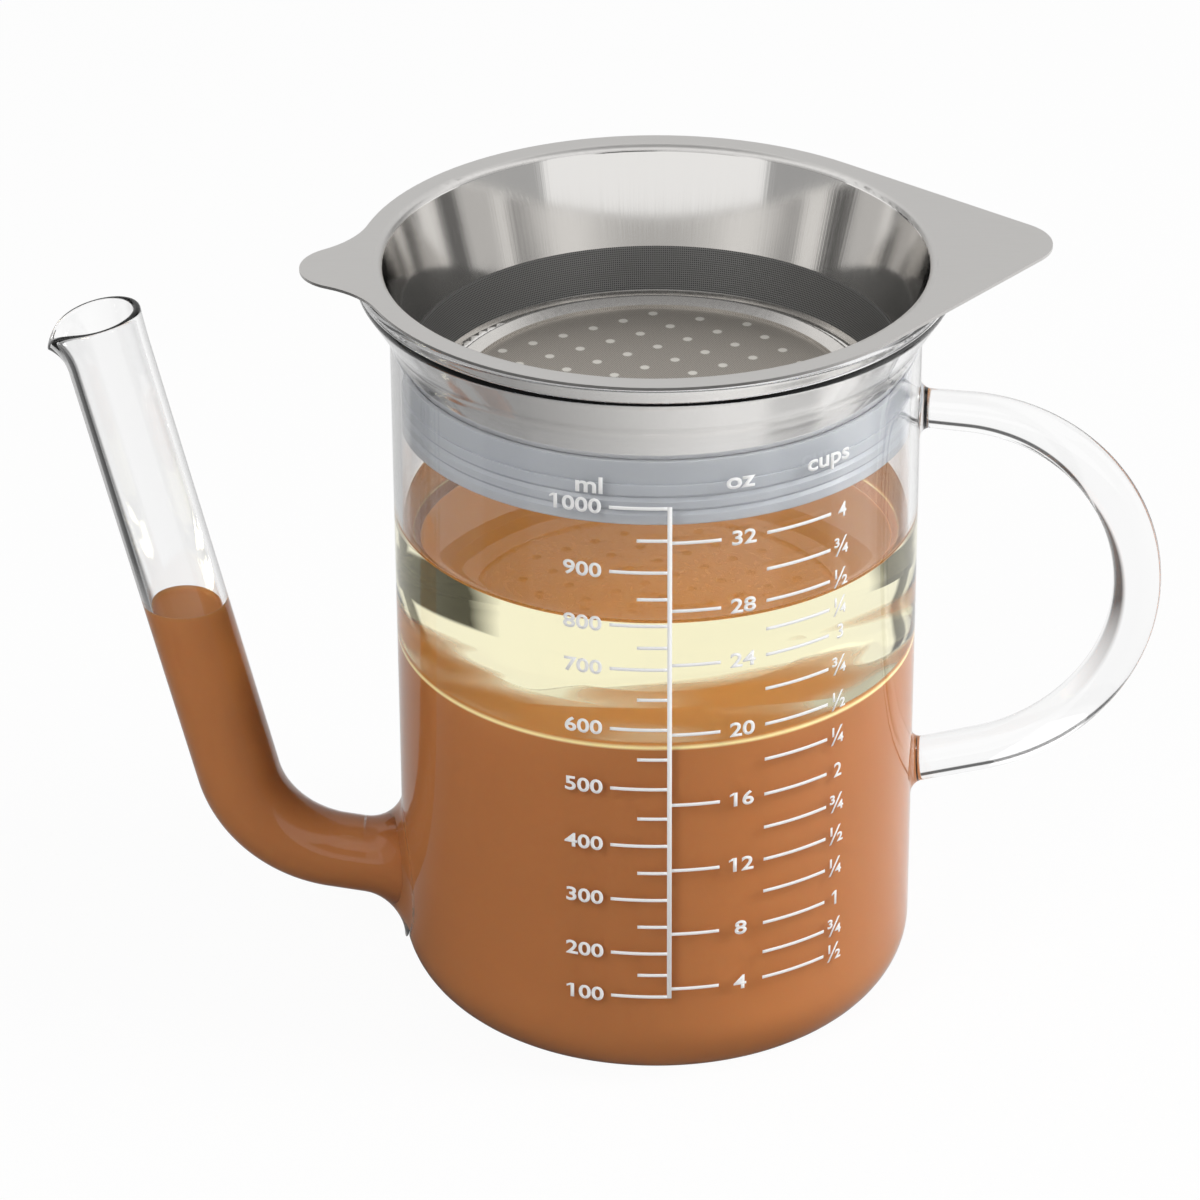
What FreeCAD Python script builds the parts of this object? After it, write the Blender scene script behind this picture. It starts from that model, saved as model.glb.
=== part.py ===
import FreeCAD, Part
import math
import os

# Gravy fat separator: a glass jug with a bent pouring spout that leaves it near the
# floor, a solid glass handle, and a steel strainer that hangs in the mouth in a
# silicone seal. Millimetres. +Z is up, the origin is on the jug's axis at the plane it
# stands on, the spout points to -X and the handle to +X.

V = FreeCAD.Vector
UP = V(0, 0, 1)
AXIS_BASE = V(0, 0, 0)

# ---------------------------------------------------------------- driving dimensions

# Glass jug
jug_diameter = 105.0          # outside of the straight wall
jug_height = 160.0            # top of the glass rim
jug_wall = 1.8                # glass thickness
jug_floor = 2.6               # glass thickness of the floor
base_corner = 13.5            # outside radius between wall and floor
rim_overhang = 6.5            # how far the mouth flares out past the wall
rim_band = 3.0                # upright band at the mouth
flare_angle = 32.0            # slope of the flare, from vertical
flare_bend = 6.0              # radius of the bend into the flare
rim_bend = 2.0                # radius of the bend from the flare into the band
rim_roundness = 0.98          # share of the wall's half thickness that the rim is rounded by

# Pouring spout, a bent glass tube in the XZ plane
spout_foot_diameter = 15.7    # outside, along the lower run
spout_diameter = 17.1         # outside, along the upper run
spout_wall = 1.5
spout_foot_height = 23.0      # height at which its centre line leaves the jug's wall
spout_reach = 29.8            # jug's wall to where the two runs' centre lines would meet
spout_rise = 10.0             # slope of the lower run, from horizontal
spout_lean = 13.15            # lean of the upper run, from vertical
spout_bend = 25.0             # centre line radius
spout_foot_fillet = 8.0       # flare of the glass where the tube is fused to the jug
mouth_drop = 12.1             # centre of the spout's mouth below the jug's rim
lip_length = 10.0             # shaped length below the mouth, along the centre line
lip_waste = 3.0               # drawn above the mouth, then cut off to the rim's line
lip_flare = 0.3               # widening of the mouth at the end of the waste
lip_pull = 4.8                # how far the beak is drawn out there
lip_pull_sharpness = 10       # a higher power gives a narrower beak
lip_dip = 1.15                # fall of the rim at the tube's outermost point
lip_dip_sharpness = 8         # a higher power keeps the fall nearer the beak
lip_steps = 32                # points round the outline of the beak

# Handle, a solid glass rod bent to a D
handle_arc_reach = 5.7        # jug's wall to the centre of the rod's arc
handle_arc_height = 88.0
handle_arc_radius = 39.0      # centre line
handle_upper_end = 84.0       # angles of the arc's two ends, from +X
handle_lower_end = -78.0
handle_upper_diameter = 7.8   # rod at the upper arm
handle_middle_diameter = 9.7  # rod at the grip
handle_lower_diameter = 9.0   # rod at the lower arm
handle_foot_fillet = 2.2      # flare of the glass where the rod is fused to the jug

# Strainer bowl, pressed from one sheet
sheet = 0.6                   # steel thickness
flange_width = 5.0            # flat ring that lies over the glass rim
bowl_depth = 31.6             # flange top to the inside of the floor
mouth_bend = 1.2              # radius from the flange into the wall
floor_bend = 2.4              # radius from the wall into the floor
floor_ledge = 3.3             # what is left of the floor under the perforated plate
wing_azimuth = 5.0            # the two wings' axis, from +X
long_wing_overhang = 19.3     # past the flange, over the handle
long_wing_tip = 11.0          # radius of that tip
short_wing_overhang = 10.8    # past the flange, over the spout
short_wing_tip = 9.8
short_wing_neck = 20.0        # fillet between the short wing and the flange

# Strainer inserts
plate_thickness = 0.6         # perforated plate
hole_diameter = 2.2
hole_pitch = 7.0
hole_margin = 2.0             # between the holes and the clamp ring's opening
hole_grid_angle = 30.0        # turn of the square hole grid
clamp_height = 3.0            # ring that holds the bottom mesh
clamp_width = 3.3
clamp_sheet = 0.6
clamp_dish = 1.0              # fall of the clamp ring's top face to its inner edge
mesh_thickness = 0.3
side_mesh_height = 8.6
side_mesh_lift = 3.0          # lower edge of the side mesh above the bowl's floor

# Silicone seal
seal_floor_width = 5.7        # room between the bowl's floor and the glass
seal_top_width = 0.9          # thickness of the seal's top edge
seal_overhang = 0.9           # how far it reaches below the bowl's floor
seal_shoulder_share = 0.36    # part of its height taken by the slimmer band at the top
seal_shoulder_step = 0.4
seal_groove_share = 0.5       # part of each rib's height taken by a groove
seal_groove_depth = 0.5
seal_groove_count = 2

# Contents
gravy_height = 80.0           # level in the jug
spout_gravy_rise = 3.0        # level in the spout above that in the jug
fat_thickness = 26.0

# Clearances and margins
rim_clearance = 0.3           # flange above the glass rim
seal_glass_clearance = 0.3    # seal inside the glass wall
seal_bowl_clearance = 0.1     # seal outside the bowl's wall
insert_clearance = 0.3        # inserts inside the bend at the bowl's floor
mesh_clearance = 0.1          # side mesh inside the bowl's wall
root_depth = 4.0              # how far rods run into the jug's wall before they are trimmed
touching = 0.001              # distance below which a point counts as lying on a skin

# ---------------------------------------------------------------- derived dimensions

jug_radius = jug_diameter / 2
jug_bore = jug_radius - jug_wall
base_inner_corner = base_corner - jug_wall
rim_radius = jug_radius + rim_overhang
rim_round = jug_wall / 2 * rim_roundness
flare = math.radians(flare_angle)
flare_end = jug_height - rim_band
flare_start = flare_end - rim_overhang / math.tan(flare)

spout_foot_radius = spout_foot_diameter / 2
spout_radius = spout_diameter / 2
spout_gravy_height = gravy_height + spout_gravy_rise

flange_radius = rim_radius
flange_top = jug_height + rim_clearance + sheet
flange_under = flange_top - sheet
mouth_radius = flange_radius - flange_width
bowl_floor = flange_top - bowl_depth
bowl_floor_under = bowl_floor - sheet
bowl_floor_radius = jug_bore - seal_floor_width
bowl_slope = (mouth_radius - bowl_floor_radius) / bowl_depth
bowl_angle = math.atan(bowl_slope)
insert_radius = bowl_floor_radius - floor_bend - insert_clearance
floor_hole_radius = insert_radius - floor_ledge

plate_top = bowl_floor + plate_thickness
clamp_bore = insert_radius - clamp_width
clamp_skirt = insert_radius - clamp_sheet
clamp_top = plate_top + clamp_height
bottom_mesh_top = clamp_top - clamp_dish - clamp_sheet
bottom_mesh_under = bottom_mesh_top - mesh_thickness


# ---------------------------------------------------------------- outlines and shapes

def bent_outline(corners):
    """Closed wire in the XZ plane through (x, z, bend radius) corners."""
    edges = []
    joints = []
    count = len(corners)
    for i in range(count):
        x, z, bend = corners[i]
        here = V(x, 0, z)
        before = V(corners[i - 1][0], 0, corners[i - 1][1]) - here
        after = V(corners[(i + 1) % count][0], 0, corners[(i + 1) % count][1]) - here
        if bend <= 0:
            joints.append((here, here, None))
            continue
        turn = before.getAngle(after)
        run = bend / math.tan(turn / 2)
        before.normalize()
        after.normalize()
        middle = before + after
        middle.normalize()
        peak = here + middle * (bend / math.sin(turn / 2) - bend)
        joints.append((here + before * run, here + after * run, peak))
    for i in range(count):
        start, end, peak = joints[i]
        if peak is not None:
            edges.append(Part.Arc(start, peak, end).toShape())
        following = joints[(i + 1) % count][0]
        if (following - end).Length > 1e-6:
            edges.append(Part.LineSegment(end, following).toShape())
    return Part.Wire(edges)


def turned(corners):
    """Solid of revolution about the jug's axis."""
    face = Part.Face(bent_outline(corners))
    return face.revolve(AXIS_BASE, UP, 360)


def offset_bend(radius, height, angle, thickness):
    """Corner on the inner side of a wall that turns outward by angle at a corner."""
    return radius - thickness, height + thickness * math.tan(angle / 2)


def disc_wire(centre, axis, radius):
    return Part.Wire(Part.Circle(centre, axis, radius).toShape())


def one_solid(shape):
    """The single solid of a shape, with faces that lie on one surface joined."""
    return shape.removeSplitter().Solids[0]


def edges_on(shape, solids):
    """Edges of a shape whose middle lies on the skin of every one of the solids."""
    found = []
    for edge in shape.Edges:
        middle = Part.Vertex(edge.valueAt((edge.FirstParameter + edge.LastParameter) / 2))
        if all(middle.distToShape(solid.Shells[0])[0] < touching for solid in solids):
            found.append(edge)
    return found


def fused_foot(rod, wall, fillet):
    """A glass rod or tube fused to a wall with flared feet, and the wall taken away."""
    joined = rod.fuse(wall)
    return joined.makeFillet(fillet, edges_on(joined, [rod, wall])).cut(wall)


# ---------------------------------------------------------------- glass jug

def jug_outside():
    """Everything inside the jug's outer face, used to seat the spout and handle."""
    return turned([
        (0, 0, 0),
        (jug_radius, 0, base_corner),
        (jug_radius, flare_start, flare_bend),
        (rim_radius, flare_end, rim_bend + jug_wall),
        (rim_radius, jug_height, 0),
        (0, jug_height, 0),
    ])


def jug_cavity(level):
    """The space inside the straight part of the jug, filled up to a level."""
    return turned([
        (0, jug_floor, 0),
        (jug_bore, jug_floor, base_inner_corner),
        (jug_bore, level, 0),
        (0, level, 0),
    ])


def make_jug_body(spout_way):
    flare_bore, flare_bore_start = offset_bend(jug_radius, flare_start, flare, jug_wall)
    rim_bore, flare_bore_end = offset_bend(rim_radius, flare_end, flare, jug_wall)
    shell = turned([
        (0, 0, 0),
        (jug_radius, 0, base_corner),
        (jug_radius, flare_start, flare_bend),
        (rim_radius, flare_end, rim_bend + jug_wall),
        (rim_radius, jug_height, rim_round),
        (rim_bore, jug_height, rim_round),
        (rim_bore, flare_bore_end, rim_bend),
        (flare_bore, flare_bore_start, flare_bend + jug_wall),
        (jug_bore, jug_floor, base_inner_corner),
        (0, jug_floor, 0),
    ])
    return one_solid(shell.cut(spout_way))


# ---------------------------------------------------------------- spout

rise = math.radians(spout_rise)
lean = math.radians(spout_lean)
run_along = V(-math.cos(rise), 0, math.sin(rise))
lean_along = V(-math.sin(lean), 0, math.cos(lean))
spout_corner_z = spout_foot_height + spout_reach * math.tan(rise)
spout_corner = V(-jug_radius - spout_reach, 0, spout_corner_z)
spout_turn = run_along.getAngle(lean_along)
bend_run = spout_bend * math.tan(spout_turn / 2)
bend_in = spout_corner - run_along * bend_run
bend_out = spout_corner + lean_along * bend_run
mouth_height = jug_height - mouth_drop
lip_centre = spout_corner + lean_along * ((mouth_height - spout_corner_z) / lean_along.z)
lip_start = lip_centre - lean_along * lip_length
lip_end = lip_centre + lean_along * lip_waste
lip_outward = V(-math.cos(lean), 0, -math.sin(lean))


def root_point(start, along):
    """Where a line in the XZ plane reaches the depth at which rods end in the wall."""
    inside = math.copysign(jug_radius - root_depth, start.x)
    return start + along * ((inside - start.x) / along.x)


def spout_core(inset):
    """The spout up to its lip as a solid rod, smaller than the glass by an inset."""
    foot_radius = spout_foot_radius - inset
    top_radius = spout_radius - inset
    start = root_point(spout_corner, run_along)
    inward = lean_along - run_along
    inward.normalize()
    peak = spout_corner + inward * (spout_bend / math.cos(spout_turn / 2) - spout_bend)
    arc = Part.Wire(Part.Arc(bend_in, peak, bend_out).toShape())
    ends = [disc_wire(bend_in, run_along, foot_radius), disc_wire(bend_out, lean_along, top_radius)]
    bend = arc.makePipeShell(ends, True, False)
    lower = Part.makeCylinder(foot_radius, (bend_in - start).Length, start, run_along)
    upper = Part.makeCylinder(top_radius, (lip_start - bend_out).Length, bend_out, lean_along)
    return lower.fuse([bend, upper])


def beak_outline(radius):
    """Outline square to the tube at full beak, started on the pouring side."""
    points = []
    for i in range(lip_steps):
        angle = 2 * math.pi * i / lip_steps
        beak = ((1 + math.cos(angle)) / 2) ** lip_pull_sharpness
        reach = radius + lip_flare + lip_pull * beak
        side = V(0, reach * math.sin(angle), 0)
        points.append(lip_end + lip_outward * (reach * math.cos(angle)) + side)
    curve = Part.BSplineCurve()
    curve.interpolate(points, True)
    return Part.Wire(curve.toShape())


def lip_core(inset):
    """The lip as a solid that changes from the round tube to the beak."""
    radius = spout_radius - inset
    circle = Part.Circle(lip_start, lean_along, radius)
    circle.XAxis = lip_outward
    path = Part.Wire(Part.LineSegment(lip_start, lip_end).toShape())
    return path.makePipeShell([Part.Wire(circle.toShape()), beak_outline(radius)], True, False)


def above_rim():
    """Everything above the rim, which is square to the tube and dips at the beak."""
    reach = spout_radius + lip_pull + spout_wall
    points = []
    for i in range(lip_steps + 1):
        outward = reach * (2 * i / lip_steps - 1)
        share = max(0, (spout_radius + outward) / (2 * spout_radius))
        dip = lip_dip * share ** lip_dip_sharpness
        points.append(lip_centre + lip_outward * outward - lean_along * dip)
    rim = Part.BSplineCurve()
    rim.interpolate(points)
    top = lean_along * lip_length
    around = Part.makePolygon([points[-1], points[-1] + top, points[0] + top, points[0]])
    profile = Part.Face(Part.Wire([rim.toShape()] + around.Edges))
    width = V(0, 2 * reach, 0)
    return profile.extrude(width).translated(width / -2)


def make_spout_tube(wall):
    outside = fused_foot(spout_core(0), wall, spout_foot_fillet).fuse(lip_core(0))
    inside = spout_core(spout_wall).fuse(lip_core(spout_wall))
    return one_solid(outside.cut(inside).cut(above_rim()))


# ---------------------------------------------------------------- handle

handle_centre = V(jug_radius + handle_arc_reach, 0, handle_arc_height)


def handle_point(degrees):
    """Point of the rod's centre line at an angle of its arc."""
    angle = math.radians(degrees)
    return handle_centre + V(math.cos(angle), 0, math.sin(angle)) * handle_arc_radius


def handle_end(degrees):
    """Point inside the wall on the tangent that leaves the arc, and its direction."""
    angle = math.radians(degrees)
    along = V(-abs(math.sin(angle)), 0, math.copysign(math.cos(angle), degrees))
    return root_point(handle_point(degrees), along), along


def make_handle_rod(wall):
    upper_end, upper_along = handle_end(handle_upper_end)
    lower_end, lower_along = handle_end(handle_lower_end)
    upper_joint = handle_point(handle_upper_end)
    lower_joint = handle_point(handle_lower_end)
    grip = handle_point((handle_upper_end + handle_lower_end) / 2)
    path = Part.Wire([
        Part.LineSegment(upper_end, upper_joint).toShape(),
        Part.Arc(upper_joint, grip, lower_joint).toShape(),
        Part.LineSegment(lower_joint, lower_end).toShape(),
    ])
    grip_outward = grip - handle_centre
    sections = [
        disc_wire(upper_end, upper_along, handle_upper_diameter / 2),
        disc_wire(grip, grip_outward.cross(V(0, 1, 0)), handle_middle_diameter / 2),
        disc_wire(lower_end, lower_along, handle_lower_diameter / 2),
    ]
    rod = path.makePipeShell(sections, True, True)
    return one_solid(fused_foot(rod, wall, handle_foot_fillet))


# ---------------------------------------------------------------- strainer

def bowl_radius(height):
    """Inside radius of the bowl's wall at a height."""
    return bowl_floor_radius + (height - bowl_floor) * bowl_slope


def wall_step(thickness):
    """Radial distance that a thickness takes up across the sloping wall."""
    return thickness / math.cos(bowl_angle)


def make_flange():
    """Flat flange with its two wings, as a plate."""
    plate = Part.makeCylinder(flange_radius, sheet)
    long_centre = flange_radius + long_wing_overhang - long_wing_tip
    long_side = math.acos((flange_radius - long_wing_tip) / long_centre)
    corners = []
    for side in (1, -1):
        normal = V(math.cos(long_side), side * math.sin(long_side), 0)
        ends = [normal * flange_radius, V(long_centre, 0, 0) + normal * long_wing_tip]
        corners += ends[::side]
    long_wing = Part.Face(Part.makePolygon(corners + corners[:1])).extrude(UP * sheet)
    long_tip = Part.makeCylinder(long_wing_tip, sheet, V(long_centre, 0, 0))
    short_centre = short_wing_tip - flange_radius - short_wing_overhang
    short_tip = Part.makeCylinder(short_wing_tip, sheet, V(short_centre, 0, 0))
    blank = plate.fuse([long_wing, long_tip, short_tip]).removeSplitter()
    necks = []
    for edge in blank.Edges:
        upright = len(edge.Vertexes) == 2 and edge.BoundBox.ZLength > sheet / 2
        if upright and edge.Vertexes[0].X < 0:
            necks.append(edge)
    flange = blank.makeFillet(short_wing_neck, necks)
    flange.Placement = FreeCAD.Placement(V(0, 0, flange_under), FreeCAD.Rotation(UP, wing_azimuth))
    return flange


def make_strainer_bowl():
    wall_out = wall_step(sheet)
    pressing = turned([
        (flange_radius, flange_top, 0),
        (mouth_radius, flange_top, mouth_bend + sheet),
        (bowl_floor_radius, bowl_floor, floor_bend),
        (floor_hole_radius, bowl_floor, 0),
        (floor_hole_radius, bowl_floor_under, 0),
        (bowl_radius(bowl_floor_under) + wall_out, bowl_floor_under, floor_bend + sheet),
        (bowl_radius(flange_under) + wall_out, flange_under, mouth_bend),
        (flange_radius, flange_under, 0),
    ])
    inside = Part.makeCylinder(flange_radius - sheet, flange_top)
    return one_solid(make_flange().cut(inside).fuse(pressing))


def make_perforated_plate():
    plate = Part.makeCylinder(insert_radius, plate_thickness, V(0, 0, bowl_floor))
    reach = clamp_bore - hole_margin - hole_diameter / 2
    steps = math.ceil(reach / hole_pitch)
    turn = FreeCAD.Rotation(UP, hole_grid_angle)
    holes = []
    for i in range(-steps, steps):
        for j in range(-steps, steps):
            middle = V((i + 0.5) * hole_pitch, (j + 0.5) * hole_pitch, bowl_floor)
            if math.hypot(middle.x, middle.y) < reach:
                place = turn.multVec(middle)
                holes.append(Part.makeCylinder(hole_diameter / 2, plate_thickness, place))
    return one_solid(plate.cut(holes))


def make_clamp_ring():
    """Channel ring: a dished top leg, an upright skirt and a lower leg."""
    lower_leg_under = bottom_mesh_under - clamp_sheet
    return turned([
        (insert_radius, plate_top, 0),
        (insert_radius, clamp_top, clamp_sheet),
        (clamp_bore, clamp_top - clamp_dish, 0),
        (clamp_bore, bottom_mesh_top, 0),
        (clamp_skirt, bottom_mesh_top, 0),
        (clamp_skirt, bottom_mesh_under, 0),
        (clamp_bore, bottom_mesh_under, 0),
        (clamp_bore, lower_leg_under, 0),
        (clamp_skirt, lower_leg_under, 0),
        (clamp_skirt, plate_top, 0),
    ])


def make_bottom_mesh():
    return Part.makeCylinder(clamp_skirt, mesh_thickness, V(0, 0, bottom_mesh_under))


def make_side_mesh():
    low = bowl_floor + side_mesh_lift
    high = low + side_mesh_height
    outer = wall_step(mesh_clearance)
    inner = wall_step(mesh_clearance + mesh_thickness)
    return turned([
        (bowl_radius(low) - outer, low, 0),
        (bowl_radius(high) - outer, high, 0),
        (bowl_radius(high) - inner, high, 0),
        (bowl_radius(low) - inner, low, 0),
    ])


def make_seal_ring():
    """Wedge ring: ribbed and stepped outside, inside on the bowl's sloping wall."""
    under = bowl_floor_under - seal_overhang
    outer = jug_bore - seal_glass_clearance
    slim = outer - seal_shoulder_step
    gap = wall_step(sheet + seal_bowl_clearance)
    top = bowl_floor + (slim - seal_top_width - gap - bowl_floor_radius) / bowl_slope
    shoulder = top - (top - under) * seal_shoulder_share
    bend_top = bowl_floor + floor_bend
    corners = [
        (bowl_radius(bend_top) + gap, bend_top, 0),
        (bowl_radius(bend_top) + gap, under, 0),
        (outer, under, seal_groove_depth),
    ]
    rib = (shoulder - under) / (seal_groove_count + 1)
    groove = rib * seal_groove_share
    for i in range(seal_groove_count):
        middle = under + rib * (i + 1)
        corners.append((outer, middle - groove / 2, 0))
        corners.append((outer - seal_groove_depth, middle, 0))
        corners.append((outer, middle + groove / 2, 0))
    corners.append((outer, shoulder, 0))
    corners.append((slim, shoulder, 0))
    corners.append((slim, top, 0))
    corners.append((bowl_radius(top) + gap, top, 0))
    return turned(corners)


# ---------------------------------------------------------------- contents

def make_gravy(spout_way):
    """Gravy in the jug below the fat and in the spout, one body of liquid."""
    below_level = Part.makeBox(
        2 * jug_diameter, jug_diameter, spout_gravy_height,
        V(-2 * jug_diameter, -jug_diameter / 2, 0))
    column = spout_way.common(below_level)
    return one_solid(jug_cavity(gravy_height).fuse(column))


def make_fat_layer():
    return Part.makeCylinder(jug_bore, fat_thickness, V(0, 0, gravy_height))


# ---------------------------------------------------------------- build

def main():
    wall = jug_outside()
    spout_way = spout_core(spout_wall)
    nodes = {
        "jug_body": make_jug_body(spout_way),
        "spout_tube": make_spout_tube(wall),
        "handle_rod": make_handle_rod(wall),
        "gravy": make_gravy(spout_way),
        "fat_layer": make_fat_layer(),
        "strainer_bowl": make_strainer_bowl(),
        "perforated_plate": make_perforated_plate(),
        "mesh_clamp_ring": make_clamp_ring(),
        "bottom_mesh": make_bottom_mesh(),
        "side_mesh": make_side_mesh(),
        "seal_ring": make_seal_ring(),
    }
    os.makedirs("parts", exist_ok=True)
    for name, shape in nodes.items():
        shape.exportStep("parts/" + name + ".step")
        print(name, shape.ShapeType, shape.isValid(), round(shape.Volume, 1))


main()
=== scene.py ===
from functools import partialmethod
from math import ceil, cos, pi, radians, sin, tan

import bmesh
import bpy
from bpy.props import FloatProperty, FloatVectorProperty, PointerProperty
from bpy.types import NodeSocket, Operator, Panel, PropertyGroup
from mathutils import Matrix, Vector


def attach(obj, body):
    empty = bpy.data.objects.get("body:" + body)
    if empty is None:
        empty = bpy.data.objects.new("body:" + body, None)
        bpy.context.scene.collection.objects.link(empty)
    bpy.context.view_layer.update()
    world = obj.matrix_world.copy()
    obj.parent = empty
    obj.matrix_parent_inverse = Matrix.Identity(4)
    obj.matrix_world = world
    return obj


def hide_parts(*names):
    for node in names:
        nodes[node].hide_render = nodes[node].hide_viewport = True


bl_info = {
    "name": "Gravy Fat Separator",
    "version": (1, 0, 0),
    "blender": (4, 5, 0),
    "location": "View3D > Sidebar > Fat Separator",
    "description": "Glass, steel, silicone, gravy, fat and printed scale of a gravy fat separator",
    "category": "Object",
}

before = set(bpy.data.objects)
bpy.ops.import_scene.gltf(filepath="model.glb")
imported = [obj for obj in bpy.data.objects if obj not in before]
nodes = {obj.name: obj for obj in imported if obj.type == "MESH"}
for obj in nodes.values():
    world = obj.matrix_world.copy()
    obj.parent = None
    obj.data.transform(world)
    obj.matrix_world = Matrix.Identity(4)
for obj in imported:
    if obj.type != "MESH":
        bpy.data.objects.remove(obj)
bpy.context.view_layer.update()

SEGMENTS = 256  # points round a turned piece
ROUND = 96  # points round a tube or rod
FOOT_STEPS = 12  # steps in a flared foot
RUN_STEPS = 4  # steps along the spout's lower run
BEND_STEPS = 40  # steps round the spout's bend
UPPER_STEPS = 24  # steps up the spout's upper run
LIP_STEPS = 20  # steps in the spout's lip
EDGE_STEPS = 8  # steps over the rounded edge of its mouth
ROOT_STEPS = 7  # steps from the spout's opening to its foot
ROD_STEPS = 120  # steps along the handle
BEND_STEP = radians(6)
SHARP_ANGLE = radians(40)
SUPPORT = 0.0003  # from a supporting ring to the end of its run
LINE_START = 0.044  # from the jug's axis to where centre lines start
SEARCH = 0.02  # reach of the search for the jug's wall
HALVINGS = 40  # times that it is halved
CLEARANCE = 0.002  # reach of a plug past the glass it cuts
BEAK_POWER = 10  # narrowness of the beak
LIP_POWER = 2.2  # curve of the lip's widening
DIP_POWER = 8  # narrowness of the rim's dip
EDGE_ROUND = 0.99  # share of half the wall that rounds the jug's rim
GRAVY_WETTING = 1.2  # reach of the gravy's mesh into the glass, in wettings
GRAVY_EDGE = 0.0009  # bend at the edge of the gravy's surface
COLUMN_START = 0.001  # start of the gravy on the spout's centre line
FAT_CLIMB = 0.0016  # rise of the fat at the glass
FAT_DEPTH = 0.0015  # reach of the fat's mesh below the gravy's level

# The gravy's domed surface under the fat: radius and rise.
GRAVY_DOME = ((0.040, 0.00035), (0.030, 0.0007), (0.020, 0.00098), (0.010, 0.00115), (0, 0.0012))
# The gravy's surface in the spout: share of its radius and rise.
SPOUT_SURFACE = ((1.0, 0.0011), (0.98, 0.0007), (0.94, 0.00035), (0.88, 0.00012), (0.8, 0.00003),
                 (0.6, 0), (0.4, 0), (0.2, 0), (0.05, 0))
# The fat's surface near the glass: distance from its edge and rise.
FAT_SURFACE = ((0.0003, 0.0012), (0.0007, 0.0008), (0.0013, 0.00045), (0.002, 0.00025),
               (0.003, 0.0001), (0.0045, 0.00002), (0.007, 0))


# Sizes and colours


def number(name, description, default, **more):
    return FloatProperty(name=name, description=description, default=default, **more)


def length(name, description, default):
    return number(name, description, default, unit="LENGTH", subtype="DISTANCE", precision=5, min=0)


def angle(name, description, default):
    return number(name, description, radians(default), unit="ROTATION", subtype="ANGLE")


def share(name, description, default):
    return number(name, description, default, min=0, max=1, subtype="FACTOR")


def colour(name, description, default):
    return FloatVectorProperty(name=name, description=description, default=default, size=3,
                               min=0, max=1, subtype="COLOR")


class GlassSettings(PropertyGroup):
    """The blown jug with its fused spout and handle."""
    tint: colour("Tint", "Colour of the glass", (0.99, 0.99, 0.99))
    ior: number("IOR", "Refractive index", 1.47, min=1)
    radius: length("Radius", "Outside radius of the jug's wall", 0.0525)
    wall: length("Wall", "Thickness of the jug's wall", 0.0018)
    floor: length("Floor", "Thickness of the jug's floor", 0.0026)
    height: length("Height", "Height of the glass rim", 0.160)
    base_corner: length("Base corner", "Outside radius between wall and floor", 0.0135)
    rim_overhang: length("Rim overhang", "Flare of the mouth past the wall", 0.0065)
    rim_band: length("Rim band", "Upright band at the mouth", 0.003)
    flare: angle("Flare", "Slope of the flare from vertical", 32)
    flare_bend: length("Flare bend", "Radius of the bend into the flare", 0.006)
    rim_bend: length("Rim bend", "Radius of the bend into the band", 0.002)

    @property
    def bore(self):
        return self.radius - self.wall


class SpoutSettings(PropertyGroup):
    """The bent glass tube that pours."""
    foot_radius: length("Foot radius", "Outside radius of the lower run", 0.00785)
    radius: length("Radius", "Outside radius of the upper run", 0.00855)
    wall: length("Wall", "Thickness of the tube", 0.0015)
    foot_height: length("Foot height", "Height where it leaves the jug", 0.023)
    reach: length("Reach", "Wall to where its two runs meet", 0.0298)
    rise: angle("Rise", "Slope of the lower run from horizontal", 10)
    lean: angle("Lean", "Lean of the upper run from vertical", 13.15)
    bend: length("Bend", "Radius of the bend's centre line", 0.025)
    foot_flare: length("Foot flare", "Radius of its flare at the jug", 0.008)
    mouth_height: length("Mouth height", "Height of the middle of its mouth", 0.1479)
    lip_length: length("Lip length", "Shaped length below the mouth", 0.010)
    lip_flare: length("Lip flare", "Widening of the mouth", 0.00023)
    lip_pull: length("Lip pull", "Length of the beak", 0.0025)
    lip_dip: length("Lip dip", "Fall of the rim at the beak", 0.00115)


class HandleSettings(PropertyGroup):
    """The solid glass rod bent to a D."""
    arc_reach: length("Arc reach", "Jug's wall to the centre of the arc", 0.0057)
    arc_height: length("Arc height", "Height of the centre of the arc", 0.088)
    arc_radius: length("Arc radius", "Radius of the arc's centre line", 0.039)
    upper_end: angle("Upper end", "Angle at which the arc ends above", 84)
    lower_end: angle("Lower end", "Angle at which the arc ends below", -78)
    upper_radius: length("Upper radius", "Rod's radius at the upper arm", 0.0039)
    grip_radius: length("Grip radius", "Rod's radius at the grip", 0.00485)
    lower_radius: length("Lower radius", "Rod's radius at the lower arm", 0.0045)
    foot_flare: length("Foot flare", "Radius of its flare at the jug", 0.0022)


class ContentsSettings(PropertyGroup):
    """The gravy and the fat on it."""
    gravy_level: length("Gravy level", "Height of the gravy in the jug", 0.080)
    spout_level: length("Spout level", "Height of the gravy in the spout", 0.083)
    fat_level: length("Fat level", "Height of the fat's surface", 0.106)
    wetting: length("Wetting", "Reach of a liquid into the glass", 0.0001)
    gravy_colour: colour("Gravy", "Colour of the gravy", (0.49, 0.197, 0.067))
    # Painted light: the gravy's top under the fat is lighter and yellower than its body, in place
    # of light that the strainer shades off it.
    surface_colour: colour("Gravy surface", "Gravy's colour under the fat", (0.55, 0.24, 0.072))
    # Painted highlight: a bright line on the gravy along the glass, just under its level.
    film_colour: colour("Film", "Line of fat at the glass", (1.0, 0.86, 0.45))
    fat_colour: colour("Fat", "Colour of light through the fat", (0.98, 0.93, 0.58))
    fat_density: number("Fat density", "Absorption in the fat, per metre", 10, min=0)
    fat_ior: number("Fat IOR", "Refractive index of the fat", 1.46, min=1)


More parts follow.
